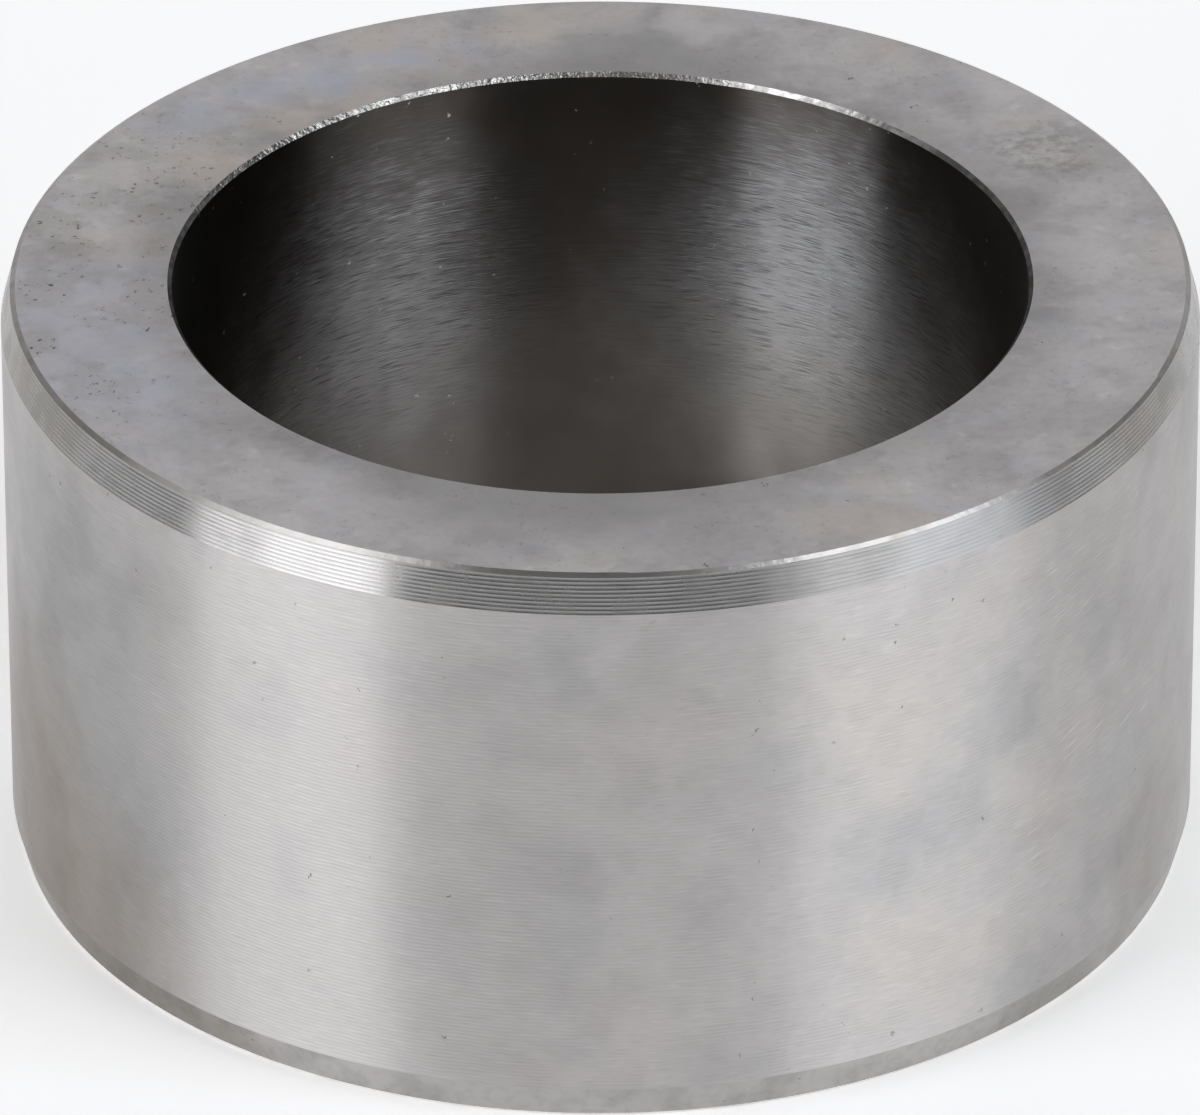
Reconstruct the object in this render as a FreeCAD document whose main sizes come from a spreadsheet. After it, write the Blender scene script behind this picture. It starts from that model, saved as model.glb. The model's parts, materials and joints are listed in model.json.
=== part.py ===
"""Spacer sleeve: a short, thick-walled steel ring that is turned from the bar in one piece.

The frame stands on the sleeve's lower end face: the origin is that face's centre, and +Z runs up along
the bore. All lengths are in millimetres.

From outside to inside, the real sleeve has
- a turned outer wall,
- a slim lead-in cone at each end of it, which guides the sleeve into a housing,
- a narrow flat break where each cone would meet its end face,
- two ground end faces, which clamp between the parts that the sleeve holds apart,
- a plain bore for the shaft or pin, with a small break at each mouth.
"""

import FreeCAD
import Part

import math
import os

import Sketcher

# Driving sizes, one row each: the cell's name, its value, and what it measures.
SIZES = (
    ("bore_diameter", 50.0, "bore wall, to fit the shaft"),
    ("wall_thickness", 10.0, "bore wall to outer wall, which makes the outside 70 across"),
    ("sleeve_length", 36.0, "distance between the two end faces"),
    ("top_lead_length", 2.3, "upper end face down to where the lead-in cone meets the outer wall"),
    ("bottom_lead_length", 2.1, "lower end face up to where the lead-in cone meets the outer wall"),
    ("lead_angle", 15.0, "both lead-in cones, in degrees from the axis"),
    ("face_break_across", 0.30, "edge break between an end face and its cone, measured across the face"),
    ("face_break_down", 0.20, "the same edge break, measured along the axis"),
    ("bore_break", 0.25, "edge break at each mouth of the bore, equal on the face and the wall"),
)

# An edge lies on a level or a circle when it is this near to it.
NEAR = 1e-4

# A constraint needs some length when it is added. Its expression then sets the real one.
UNTIL_BOUND = 1.0

FULL_TURN = 360


def make_sheet(doc):
    """Writes the driving sizes into a spreadsheet, so that every feature can be bound to a cell."""
    sheet = doc.addObject("Spreadsheet::Sheet", "Sizes")
    for row, (name, value, meaning) in enumerate(SIZES, start=1):
        sheet.set(f"A{row}", name)
        sheet.set(f"B{row}", str(value))
        sheet.set(f"C{row}", meaning)
        sheet.setAlias(f"B{row}", name)
    doc.recompute()
    return sheet


def origin_feature(body, role):
    """Finds one of the body's own planes or axes by its role."""
    return next(item for item in body.Origin.OriginFeatures if item.Role == role)


def lead_depth(sheet, lead_length):
    """How far a lead-in cone steps in from the outer wall, between the wall and its edge break."""
    return (lead_length - sheet.face_break_down) * math.tan(math.radians(sheet.lead_angle))


def section_corners(sheet):
    """The half-section's corners, (radius, level), counter-clockwise from the bore's lower mouth."""
    bore = sheet.bore_diameter / 2
    outer = bore + sheet.wall_thickness
    top = sheet.sleeve_length
    lower_cone_foot = outer - lead_depth(sheet, sheet.bottom_lead_length)
    upper_cone_head = outer - lead_depth(sheet, sheet.top_lead_length)
    return [
        (bore, 0.0),
        (lower_cone_foot - sheet.face_break_across, 0.0),
        (lower_cone_foot, sheet.face_break_down),
        (outer, sheet.bottom_lead_length),
        (outer, top - sheet.top_lead_length),
        (upper_cone_head, top - sheet.face_break_down),
        (upper_cone_head - sheet.face_break_across, top),
        (bore, top),
    ]


def draw_half_section(body, sheet):
    """Draws the wall's half-section, right of the axis, and ties each of its sizes to a cell."""
    sketch = body.newObject("Sketcher::SketchObject", "HalfSection")
    sketch.AttachmentSupport = [(origin_feature(body, "XZ_Plane"), "")]
    sketch.MapMode = "FlatFace"

    corners = [FreeCAD.Vector(radius, level) for radius, level in section_corners(sheet)]
    following_corners = corners[1:] + corners[:1]
    sides = [
        sketch.addGeometry(Part.LineSegment(corner, following), False)
        for corner, following in zip(corners, following_corners)
    ]
    (
        lower_face, lower_break, lower_cone, wall,
        upper_cone, upper_break, upper_face, bore_wall,
    ) = sides
    start, end = 1, 2
    origin_point = (-1, 1)
    horizontal_axis = -1

    def tie(*constraint):
        return sketch.addConstraint(Sketcher.Constraint(*constraint))

    def size(name, expression, direction, *points):
        """Adds a distance between two points and binds it to the sheet."""
        index = tie(direction, *points, UNTIL_BOUND)
        sketch.renameConstraint(index, name)
        sketch.setExpression(f"Constraints.{name}", expression)

    for side, following in zip(sides, sides[1:] + sides[:1]):
        tie("Coincident", side, end, following, start)
    tie("PointOnObject", lower_face, start, horizontal_axis)
    tie("Horizontal", lower_face)
    tie("Horizontal", upper_face)
    tie("Vertical", wall)
    tie("Vertical", bore_wall)

    size("bore_radius", "Sizes.bore_diameter / 2", "DistanceX", *origin_point, lower_face, start)
    size("thickness", "Sizes.wall_thickness", "DistanceX", bore_wall, end, wall, start)
    size("length", "Sizes.sleeve_length", "DistanceY", bore_wall, end, bore_wall, start)

    lead = "(Sizes.{}_lead_length - Sizes.face_break_down) * tan(Sizes.lead_angle * 1 deg)"
    size("bottom_lead", "Sizes.bottom_lead_length", "DistanceY", lower_face, end, lower_cone, end)
    size("bottom_lead_depth", lead.format("bottom"), "DistanceX", lower_cone, start, lower_cone, end)
    size("bottom_across", "Sizes.face_break_across", "DistanceX", lower_break, start, lower_break, end)
    size("bottom_down", "Sizes.face_break_down", "DistanceY", lower_break, start, lower_break, end)

    size("top_lead", "Sizes.top_lead_length", "DistanceY", upper_cone, start, upper_face, start)
    size("top_lead_depth", lead.format("top"), "DistanceX", upper_cone, end, upper_cone, start)
    size("top_across", "Sizes.face_break_across", "DistanceX", upper_break, end, upper_break, start)
    size("top_down", "Sizes.face_break_down", "DistanceY", upper_break, start, upper_break, end)
    return sketch


def revolve_section(body, sketch):
    """Turns the half-section once round the axis."""
    turned = body.newObject("PartDesign::Revolution", "TurnedRing")
    turned.Profile = sketch
    turned.ReferenceAxis = (sketch, ["V_Axis"])
    turned.Angle = FULL_TURN
    sketch.Visibility = False
    return turned


def circle_edges(feature, places):
    """Names the feature's circular edges that have one of the given (radius, level) pairs."""
    names = []
    for number, edge in enumerate(feature.Shape.Edges, start=1):
        if not isinstance(edge.Curve, Part.Circle):
            continue
        for radius, level in places:
            same_circle = abs(edge.Curve.Radius - radius) < NEAR
            same_level = abs(edge.Curve.Center.z - level) < NEAR
            if same_circle and same_level:
                names.append(f"Edge{number}")
    if len(names) != len(places):
        raise RuntimeError(f"{feature.Label}: found {len(names)} edges at {places}")
    return names


def break_bore_edges(body, turned, sheet):
    """Breaks both mouths of the bore equally on the face and on the wall."""
    bore = sheet.bore_diameter / 2
    places = [(bore, 0.0), (bore, sheet.sleeve_length)]
    edge_break = body.newObject("PartDesign::Chamfer", "BoreEdgeBreak")
    edge_break.Base = (turned, circle_edges(turned, places))
    edge_break.ChamferType = "Equal distance"
    edge_break.setExpression("Size", "Sizes.bore_break")
    return edge_break


def make_sleeve(doc, sheet):
    """Builds the sleeve in the order it is machined: turn the ring, then break the bore's mouths."""
    body = doc.addObject("PartDesign::Body", "Sleeve")
    body.Label = "sleeve"
    sketch = draw_half_section(body, sheet)
    turned = revolve_section(body, sketch)
    doc.recompute()
    break_bore_edges(body, turned, sheet)
    doc.recompute()
    return body


def check(doc, bodies):
    """Stops the build when a feature failed or a body isn't one valid, closed solid."""
    for item in doc.Objects:
        if "Invalid" in item.State or "Error" in item.State:
            raise RuntimeError(f"{item.Label} failed: {item.State}")
    for body in bodies:
        shape = body.Shape
        if shape.isNull() or not shape.isValid() or len(shape.Solids) != 1:
            raise RuntimeError(f"{body.Label} isn't one valid solid")


def export(bodies):
    """Writes one STEP file for each body, named after its label."""
    os.makedirs("parts", exist_ok=True)
    for body in bodies:
        body.Shape.exportStep(f"parts/{body.Label}.step")
        box = body.Shape.BoundBox
        print(
            f"{body.Label}: {box.XLength:.3f} x {box.YLength:.3f} x {box.ZLength:.3f} mm, "
            f"volume {body.Shape.Volume:.1f} mm3, {len(body.Shape.Faces)} faces"
        )


def main():
    doc = FreeCAD.newDocument("SpacerSleeve")
    sheet = make_sheet(doc)
    bodies = [make_sleeve(doc, sheet)]
    check(doc, bodies)
    export(bodies)


main()
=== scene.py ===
# %% [markdown]
# # A turned spacer sleeve
#
# This lesson dresses a steel spacer sleeve, 70 mm across and 36 mm long, as it looks when it comes from
# the machine shop: fine feed marks on the wall, rings on the upper cone, matte ground ends and a dark
# bore. The frame holds the sleeve's true size and place, so it is loaded first and never changed.

# %% Load the frame
import json
import math

import bpy
from mathutils import Euler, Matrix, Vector


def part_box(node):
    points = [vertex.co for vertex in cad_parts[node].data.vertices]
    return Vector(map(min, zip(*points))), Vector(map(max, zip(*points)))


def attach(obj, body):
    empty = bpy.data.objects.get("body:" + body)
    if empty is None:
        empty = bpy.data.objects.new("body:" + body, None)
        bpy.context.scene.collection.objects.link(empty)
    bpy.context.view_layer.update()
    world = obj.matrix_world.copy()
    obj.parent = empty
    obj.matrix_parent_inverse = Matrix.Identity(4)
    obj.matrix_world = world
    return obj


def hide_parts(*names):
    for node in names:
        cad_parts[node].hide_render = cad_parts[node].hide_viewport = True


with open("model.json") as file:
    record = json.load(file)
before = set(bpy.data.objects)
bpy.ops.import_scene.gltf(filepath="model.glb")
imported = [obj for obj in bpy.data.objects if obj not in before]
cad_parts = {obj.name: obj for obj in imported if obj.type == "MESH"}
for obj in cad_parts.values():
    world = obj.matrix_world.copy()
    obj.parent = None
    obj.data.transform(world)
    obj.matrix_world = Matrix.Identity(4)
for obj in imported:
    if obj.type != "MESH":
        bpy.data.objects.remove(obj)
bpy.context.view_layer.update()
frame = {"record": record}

# %% [markdown]
# ## Sizes
#
# The outside, the length and the bore could be typed in again, but read from the frame and its record
# they can't disagree with them. Only the slim slopes between them and the tool's feed are written here,
# because a box and a mount don't tell them.

# %% Read the sleeve's sizes
MM = 0.001
box_low, box_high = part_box("sleeve")
mount_sizes = {mount["name"]: mount["dims"] for mount in frame["record"]["mounts"]}

OUTER_RADIUS = (box_high.x - box_low.x) / 2
BORE_RADIUS = mount_sizes["shaft_bore"]["r_mm"] * MM
LENGTH = box_high.z - box_low.z
TOP_LEVEL = LENGTH / MM

TOP_LEAD = 2.3 * MM
BOTTOM_LEAD = 2.1 * MM
LEAD_ANGLE = math.radians(15)
FACE_BREAK_ACROSS = 0.30 * MM
FACE_BREAK_DOWN = 0.20 * MM
BORE_BREAK = 0.25 * MM
FEED = 0.24 * MM

outside = 2 * OUTER_RADIUS / MM
bore_width = 2 * BORE_RADIUS / MM
print(f"outside {outside:.2f} mm, bore {bore_width:.2f} mm, length {TOP_LEVEL:.2f} mm")

# %% [markdown]
# ## Camera
#
# The sleeve is seen from about 30 degrees above the floor through a very long lens, so its two rims look
# almost equally wide. A camera could be dragged until the view fits, but then nobody could say what it
# does. Here it is placed by its distance from a point on the bore's axis, and three small turns set the
# frame.

# %% Place the camera
SENSOR_WIDTH_MM = 36
LENS_MM = 439.12
CAMERA_ELEVATION = math.radians(30.264)
CAMERA_DISTANCE = 863.24 * MM
AIM_HEIGHT = 16.75 * MM
CAMERA_TILT = math.radians(0.0185)
CAMERA_PAN = math.radians(0.0038)
CAMERA_ROLL = math.radians(-0.130)
# An unturned camera looks straight down, and this turn makes it look level.
LOOK_LEVEL = math.radians(90)

bpy.ops.object.camera_add()
camera = bpy.context.object
camera.name = "camera"
camera.data.sensor_width = SENSOR_WIDTH_MM
camera.data.lens = LENS_MM
camera.location = (
    0,
    -CAMERA_DISTANCE * math.cos(CAMERA_ELEVATION),
    AIM_HEIGHT + CAMERA_DISTANCE * math.sin(CAMERA_ELEVATION),
)
turned = Euler((LOOK_LEVEL - CAMERA_ELEVATION + CAMERA_TILT, 0, 0)).to_matrix()
turned @= Euler((0, CAMERA_PAN, 0)).to_matrix()
turned @= Euler((0, 0, CAMERA_ROLL)).to_matrix()
camera.rotation_euler = turned.to_euler()
bpy.context.scene.camera = camera
print("camera at", tuple(round(value, 4) for value in camera.location))

# %% [markdown]
# ## Node helpers
#
# The room and all finishes are trees of nodes. Each node and link could be written out, which takes a
# line for every one of them. Three helpers keep a tree as short as the idea behind it.

# %% Write the helpers for node trees
def add_node(tree, kind, inputs=None, **settings):
    """Adds a node, sets its properties, and gives its inputs, by name or number, a value or a link."""
    node = tree.nodes.new("ShaderNode" + kind)
    for name, value in settings.items():
        setattr(node, name, value)
    for name, value in (inputs or {}).items():
        if isinstance(value, bpy.types.NodeSocket):
            tree.links.new(value, node.inputs[name])
        else:
            node.inputs[name].default_value = value
    return node


def maths(tree, operation, *values, clamp=False):
    """Adds a Math node on numbers or sockets and returns its output."""
    node = add_node(tree, "Math", dict(enumerate(values)), operation=operation, use_clamp=clamp)
    return node.outputs[0]


def ramp(tree, value, low, high, to_low=0.0, to_high=1.0):
    """Moves a value smoothly from to_low, where it is under low, to to_high, where it is over high."""
    inputs = {"Value": value, "From Min": low, "From Max": high, "To Min": to_low, "To Max": to_high}
    return add_node(tree, "MapRange", inputs, interpolation_type="SMOOTHSTEP").outputs["Result"]


print("helpers for node trees:", ", ".join(helper.__name__ for helper in (add_node, maths, ramp)))

# %% [markdown]
# ## Studio
#
# Bare metal has hardly any colour of its own: it shows the room. A picture of a real studio could
# surround the sleeve, but a few plain shapes are easier to place. First comes the room itself, which is
# dim, with a paler band high up on its walls. Its heights are those of the direction looked in: 0 is
# level and 1 is straight up.

# %% Light the room
DIM = 0.08
PALE_BAND = 0.38
DARK_ABOVE = 0.04
BAND_BEGINS = (0.55, 0.70)
BAND_ENDS = (0.85, 0.95)
WHITE = (1, 1, 1, 1)

bpy.context.scene.view_settings.view_transform = "Standard"
world = bpy.data.worlds.new("studio_room")
bpy.context.scene.world = world
world.use_nodes = True
tree = world.node_tree
direction = add_node(tree, "TexCoord").outputs["Generated"]
height = add_node(tree, "SeparateXYZ", {0: direction}).outputs["Z"]
band = ramp(tree, height, *BAND_BEGINS, to_low=DIM, to_high=PALE_BAND)
brightness = ramp(tree, height, *BAND_ENDS, to_low=band, to_high=DARK_ABOVE)
background = tree.nodes["Background"].inputs
background["Color"].default_value = WHITE
tree.links.new(brightness, background["Strength"])
print("room: walls", DIM, "band under the ceiling", PALE_BAND)

# %% [markdown]
# A tall soft box stands on each side in front, and a pale panel behind. A point lamp would show as a
# thin hot line on a cylinder. A wide, even box gives the upright bright band with clear edges that
# turned steel shows, and the gap between the boxes keeps the middle grey. A second box above each one
# reaches down into the bore.

# %% Set up the soft boxes
BOX_DISTANCE = 0.80
NEARLY_WHITE = (0.98, 0.98, 1.0)
COOL_LIGHT = (0.94, 0.965, 1.0)
PANEL_WHITE = (1.0, 1.0, 1.0)


def soft_box(name, azimuth, spread, bottom, top, radiance, colour):
    """Hangs an upright area lamp at an azimuth from +X. Seen from the sleeve, it spans the angle spread."""
    heading = math.radians(azimuth)
    width = 2 * BOX_DISTANCE * math.tan(math.radians(spread) / 2)
    middle = (bottom + top) / 2
    place = Vector((BOX_DISTANCE * math.cos(heading), BOX_DISTANCE * math.sin(heading), middle))
    bpy.ops.object.light_add(type="AREA", location=place)
    lamp = bpy.context.object
    lamp.name = name
    lamp.rotation_euler = (Vector((0, 0, middle)) - place).to_track_quat("-Z", "Y").to_euler()
    lamp.data.shape = "RECTANGLE"
    lamp.data.size = width
    lamp.data.size_y = top - bottom
    lamp.data.energy = radiance * math.pi * width * (top - bottom)
    lamp.data.color = colour
    lamp.visible_camera = False
    print(f"{name}: {width:.2f} m wide, {lamp.data.energy:.1f} W")


soft_box("left_soft_box", azimuth=-148, spread=38, bottom=0.0, top=0.8, radiance=2.57, colour=NEARLY_WHITE)
soft_box("left_high_box", azimuth=-148, spread=30, bottom=0.8, top=1.5, radiance=2.7, colour=NEARLY_WHITE)
soft_box("right_soft_box", azimuth=-32.5, spread=45, bottom=0.0, top=0.8, radiance=1.55, colour=COOL_LIGHT)
soft_box("right_high_box", azimuth=-26, spread=36, bottom=0.8, top=2.0, radiance=3.4, colour=COOL_LIGHT)
soft_box("back_panel", azimuth=90, spread=60, bottom=0.35, top=1.1, radiance=0.94, colour=PANEL_WHITE)

# %% [markdown]
# The floor is one pale plane. To look white in the picture it could be lit harder, but that would light
# the sleeve as well. Instead, it glows a little near the sleeve, only for the camera, for reflections
# and through glass, and keeps its shadow. Under the bore it doesn't glow, so that the inside stays dark.

# %% Lay the floor
FLOOR_SIZE = 8.0
FLOOR_COLOUR = (0.93, 0.93, 0.93, 1)
GLOW = 0.33
GLOW_FADES = 0.20
GLOW_ENDS = 0.45

bpy.ops.object.select_all(action="DESELECT")
bpy.ops.mesh.primitive_plane_add(size=FLOOR_SIZE)
floor = bpy.context.object
floor.name = "floor"
floor_paint = bpy.data.materials.new("pale_floor")
floor_paint.use_nodes = True
tree = floor_paint.node_tree
tree.nodes.clear()
place = add_node(tree, "TexCoord").outputs["Object"]
reach = add_node(tree, "VectorMath", {0: place}, operation="LENGTH").outputs["Value"]
outside_bore = maths(tree, "GREATER_THAN", reach, BORE_RADIUS)
near = ramp(tree, reach, GLOW_FADES, GLOW_ENDS, to_low=1.0, to_high=0.0)
path = add_node(tree, "LightPath").outputs
seen = maths(tree, "ADD", path["Is Camera Ray"], path["Is Glossy Ray"], clamp=True)
seen = maths(tree, "ADD", seen, path["Is Transmission Ray"], clamp=True)
lift = maths(tree, "MULTIPLY", maths(tree, "MULTIPLY", outside_bore, near), seen)
lift = maths(tree, "MULTIPLY", lift, GLOW)
paint = add_node(tree, "BsdfDiffuse", {"Color": FLOOR_COLOUR})
glow = add_node(tree, "Emission", {"Strength": lift})
both = add_node(tree, "AddShader", {0: paint.outputs[0], 1: glow.outputs[0]})
add_node(tree, "OutputMaterial", {"Surface": both.outputs[0]})
floor.data.materials.append(floor_paint)
print(f"floor: {FLOOR_SIZE} m wide, glow {GLOW} that ends {GLOW_ENDS} m out")

# %% [markdown]
# ## The turned body
#
# A lathe makes every surface of the sleeve as a ring. A section could be drawn and spun round the axis,
# but the model is made as the lathe works. It starts as a circle of edges at the bore's lower mouth. The
# open rim is extruded, scaled to the next radius and raised to the next level, round the whole section,
# until it meets the first circle.

# %% Write the growing rim
SEGMENTS = 512
SCALLOP_DEPTH = 0.010 * MM
SCALLOP_STEPS = 4
# A share times what is left of 1 is a quarter at most, halfway, so four times that is the full depth.
DEEPEST_HALFWAY = 4


class Rim:
    """The open rim of the growing mesh: where it is, and how to extrude it to the next place."""

    def __init__(self, radius, level):
        self.radius = radius
        self.level = level
        self.rings = 0
        bpy.ops.object.select_all(action="DESELECT")
        bpy.ops.mesh.primitive_circle_add(vertices=SEGMENTS, radius=radius, location=(0, 0, level))
        bpy.ops.object.mode_set(mode="EDIT")
        bpy.ops.mesh.select_all(action="SELECT")

    def turn_to(self, radius, level):
        """Extrudes the selected rim to another radius and level."""
        bpy.ops.mesh.extrude_edges_move()
        grow = radius / self.radius
        bpy.ops.transform.resize(value=(grow, grow, 1), center_override=(0, 0, self.level))
        bpy.ops.transform.translate(value=(0, 0, level - self.level))
        self.radius = radius
        self.level = level
        self.rings += 1

    def turn_scallops(self, radius, level):
        """Extrudes the rim to another place along a straight slope, cut into feed-wide scallops."""
        start = Vector((self.radius, self.level))
        end = Vector((radius, level))
        slope = end - start
        inward = Vector((-abs(slope.y), slope.x * math.copysign(1, slope.y))).normalized()
        count = round(slope.length / FEED)
        for step in range(1, count * SCALLOP_STEPS + 1):
            share = step % SCALLOP_STEPS / SCALLOP_STEPS
            dip = SCALLOP_DEPTH * DEEPEST_HALFWAY * share * (1 - share)
            place = start + slope * step / (count * SCALLOP_STEPS) + inward * dip
            self.turn_to(place.x, place.y)
        return count


print("a ring has", SEGMENTS, "segments, a scallop", SCALLOP_STEPS, "steps")

# %% [markdown]
# The section has ten corners, and each is one line here, with its radius and level. Between the wall and
# the upper face lies the lead-in cone, which was cut with the tool's feed left showing. Bump could draw
# its rings too, but they catch the light at the cone's outline. So each of them is a real shallow
# scallop. The feed marks of the outer wall are far too many to model, and come later as bump.

# %% Extrude the section ring by ring
def lead_depth(lead):
    """How far a lead-in cone of that length steps in from the outer wall."""
    return (lead - FACE_BREAK_DOWN) * math.tan(LEAD_ANGLE)


bottom_cone_radius = OUTER_RADIUS - lead_depth(BOTTOM_LEAD)
top_cone_radius = OUTER_RADIUS - lead_depth(TOP_LEAD)

rim = Rim(BORE_RADIUS + BORE_BREAK, 0)
rim.turn_to(bottom_cone_radius - FACE_BREAK_ACROSS, 0)
rim.turn_to(bottom_cone_radius, FACE_BREAK_DOWN)
rim.turn_to(OUTER_RADIUS, BOTTOM_LEAD)
rim.turn_to(OUTER_RADIUS, LENGTH - TOP_LEAD)
top_rings = rim.turn_scallops(top_cone_radius, LENGTH - FACE_BREAK_DOWN)
rim.turn_to(top_cone_radius - FACE_BREAK_ACROSS, LENGTH)
rim.turn_to(BORE_RADIUS + BORE_BREAK, LENGTH)
rim.turn_to(BORE_RADIUS, LENGTH - BORE_BREAK)
rim.turn_to(BORE_RADIUS, BORE_BREAK)
rim.turn_to(BORE_RADIUS + BORE_BREAK, 0)
print("rings extruded:", rim.rings, "scallops on the upper cone:", top_rings)

# %% [markdown]
# The real ring has no seam. The last rim lies on the first circle, so merging doubles welds them into
# one. Bridging the two would leave a row of faces without width. Smoothing by angle rounds the ring and
# its scallops, and leaves the turned corners crisp. A bevel could do that too, with many more faces.

# %% Close the last rim onto the first circle
WELD = 0.001 * MM
SHARP_EDGE = math.radians(12)

bpy.ops.mesh.select_all(action="SELECT")
bpy.ops.mesh.remove_doubles(threshold=WELD)
bpy.ops.mesh.normals_make_consistent(inside=False)
bpy.ops.mesh.select_all(action="DESELECT")
bpy.ops.object.mode_set(mode="OBJECT")
sleeve = bpy.context.object
sleeve.name = "turned_sleeve"
sleeve.data.name = "turned_sleeve"
bpy.ops.object.transform_apply(location=True, rotation=True, scale=True)
bpy.ops.object.shade_smooth_by_angle(angle=SHARP_EDGE)
print("faces of the sleeve:", len(sleeve.data.polygons))

# %% [markdown]
# On the real sleeve the edge break isn't equally wide all round: from the front toward the right it is a
# third narrower, with a small step where it begins. That could be a darker paint on the edge, but then
# it would be missing in the outline. So the inner circle of the break is selected over that stretch
# only, by its azimuth, and widened a little.

# %% Narrow the edge break on one side
STEP_FROM = math.radians(-87.8)
STEP_TO = math.radians(-20)
NARROWER = 0.09 * MM
WITHIN = 0.01 * MM

break_radius = top_cone_radius - FACE_BREAK_ACROSS
for vertex in sleeve.data.vertices:
    azimuth = math.atan2(vertex.co.y, vertex.co.x)
    on_edge = abs(vertex.co.z - LENGTH) < WITHIN and abs(vertex.co.xy.length - break_radius) < WITHIN
    vertex.select = on_edge and STEP_FROM < azimuth < STEP_TO
moved_count = sum(vertex.select for vertex in sleeve.data.vertices)
bpy.ops.object.mode_set(mode="EDIT")
wider = (break_radius + NARROWER) / break_radius
bpy.ops.transform.resize(value=(wider, wider, 1), center_override=(0, 0, LENGTH))
bpy.ops.object.mode_set(mode="OBJECT")
print("vertices moved for the narrower break:", moved_count)

# %% [markdown]
# ## Marks
#
# Bright steel is never even. The tool leaves rings and streaks, fingers and oil leave faint warm and
# blue clouds, and dust leaves specks. Each finish could have its own nodes for them, but several
# finishes share these marks, so each kind of mark is a node group, built once. They all read the place
# on the sleeve in millimetres, so that each mark keeps its real size.

# %% Write the helpers for marks
NOISE_MIDDLE = 0.5


def start_group(name, output, **inputs):
    """Makes a node group. Gives back its tree, the sockets to read from and the socket to fill."""
    tree = bpy.data.node_groups.new(name, "ShaderNodeTree")
    for label, input_kind in inputs.items():
        tree.interface.new_socket(label, in_out="INPUT", socket_type="NodeSocket" + input_kind)
    tree.interface.new_socket(output, in_out="OUTPUT", socket_type="NodeSocketFloat")
    given = tree.nodes.new("NodeGroupInput").outputs
    result = tree.nodes.new("NodeGroupOutput").inputs[0]
    print("group of nodes:", name)
    return tree, given, result


def vectors(tree, operation, first, second):
    """Adds a Vector Math node on two vectors and returns the resulting vector."""
    return add_node(tree, "VectorMath", {0: first, 1: second}, operation=operation).outputs["Vector"]


def scaled(tree, vector, factor):
    """Returns the vector times a factor."""
    return add_node(tree, "VectorMath", {0: vector, "Scale": factor}, operation="SCALE").outputs["Vector"]


def distance(tree, first, second):
    """Returns how far apart two places are."""
    return add_node(tree, "VectorMath", {0: first, 1: second}, operation="DISTANCE").outputs["Value"]


def noise(tree, place, scale, detail):
    """Adds a Noise texture and returns its grey value."""
    return add_node(tree, "TexNoise", {"Vector": place, "Scale": scale, "Detail": detail}).outputs[0]


def pushed(tree, place, scale, detail, push):
    """Moves a place about, by up to half of push along each axis: a noise's colour is three noises."""
    inputs = {"Vector": place, "Scale": scale, "Detail": detail}
    three_noises = add_node(tree, "TexNoise", inputs).outputs["Color"]
    offset = vectors(tree, "SUBTRACT", three_noises, (NOISE_MIDDLE, NOISE_MIDDLE, NOISE_MIDDLE))
    return vectors(tree, "ADD", place, scaled(tree, offset, push))


mark_helpers = (start_group, vectors, scaled, distance, noise, pushed)
print("helpers for marks:", ", ".join(helper.__name__ for helper in mark_helpers))

# %% [markdown]
# Clouds are soft blotches without a direction, as oil and fingers leave them. An image could hold them,
# but noise has no seam and no limit in size. A second noise would repeat the first one, so each use
# shifts the noise to a part of it that no other mark shows.

# %% Build the clouds
CLOUD_DETAIL = 3.0

clouds, given, result = start_group(
    "clouds", "Amount", Place="Vector", Size="Float", Low="Float", High="Float", Shift="Float"
)
moved = vectors(clouds, "ADD", given["Place"], given["Shift"])
grain = noise(clouds, moved, scale=maths(clouds, "DIVIDE", 1.0, given["Size"]), detail=CLOUD_DETAIL)
clouds.links.new(ramp(clouds, grain, given["Low"], given["High"]), result)

# %% [markdown]
# Streaks run round the axis, as all that a lathe does. Single scratches could be modelled, but there are
# thousands. Noise that is squeezed in height gives them all at once: going round the sleeve changes X
# and Y slowly, and going up it changes Z fast.

# %% Build the streaks
STREAK_DETAIL = 1.0

streaks, given, result = start_group(
    "streaks", "Amount",
    Place="Vector", Length="Float", Thickness="Float", Low="Float", High="Float", Shift="Float",
)
across = maths(streaks, "DIVIDE", 1.0, given["Length"])
along = maths(streaks, "DIVIDE", 1.0, given["Thickness"])
squeeze = add_node(streaks, "CombineXYZ", {0: across, 1: across, 2: along}).outputs[0]
squeezed = vectors(streaks, "MULTIPLY", given["Place"], squeeze)
moved = vectors(streaks, "ADD", squeezed, given["Shift"])
grain = noise(streaks, moved, scale=1.0, detail=STREAK_DETAIL)
streaks.links.new(ramp(streaks, grain, given["Low"], given["High"]), result)

# %% [markdown]
# Scuffs are short scratches that lie side by side, where another part slid along the sleeve. They are
# streaks too, but slanting, and streaks can't be turned on a cylinder as it stands. So the cylinder is
# first unrolled, which makes the way round it a straight line, and the flat sheet is turned.

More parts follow.
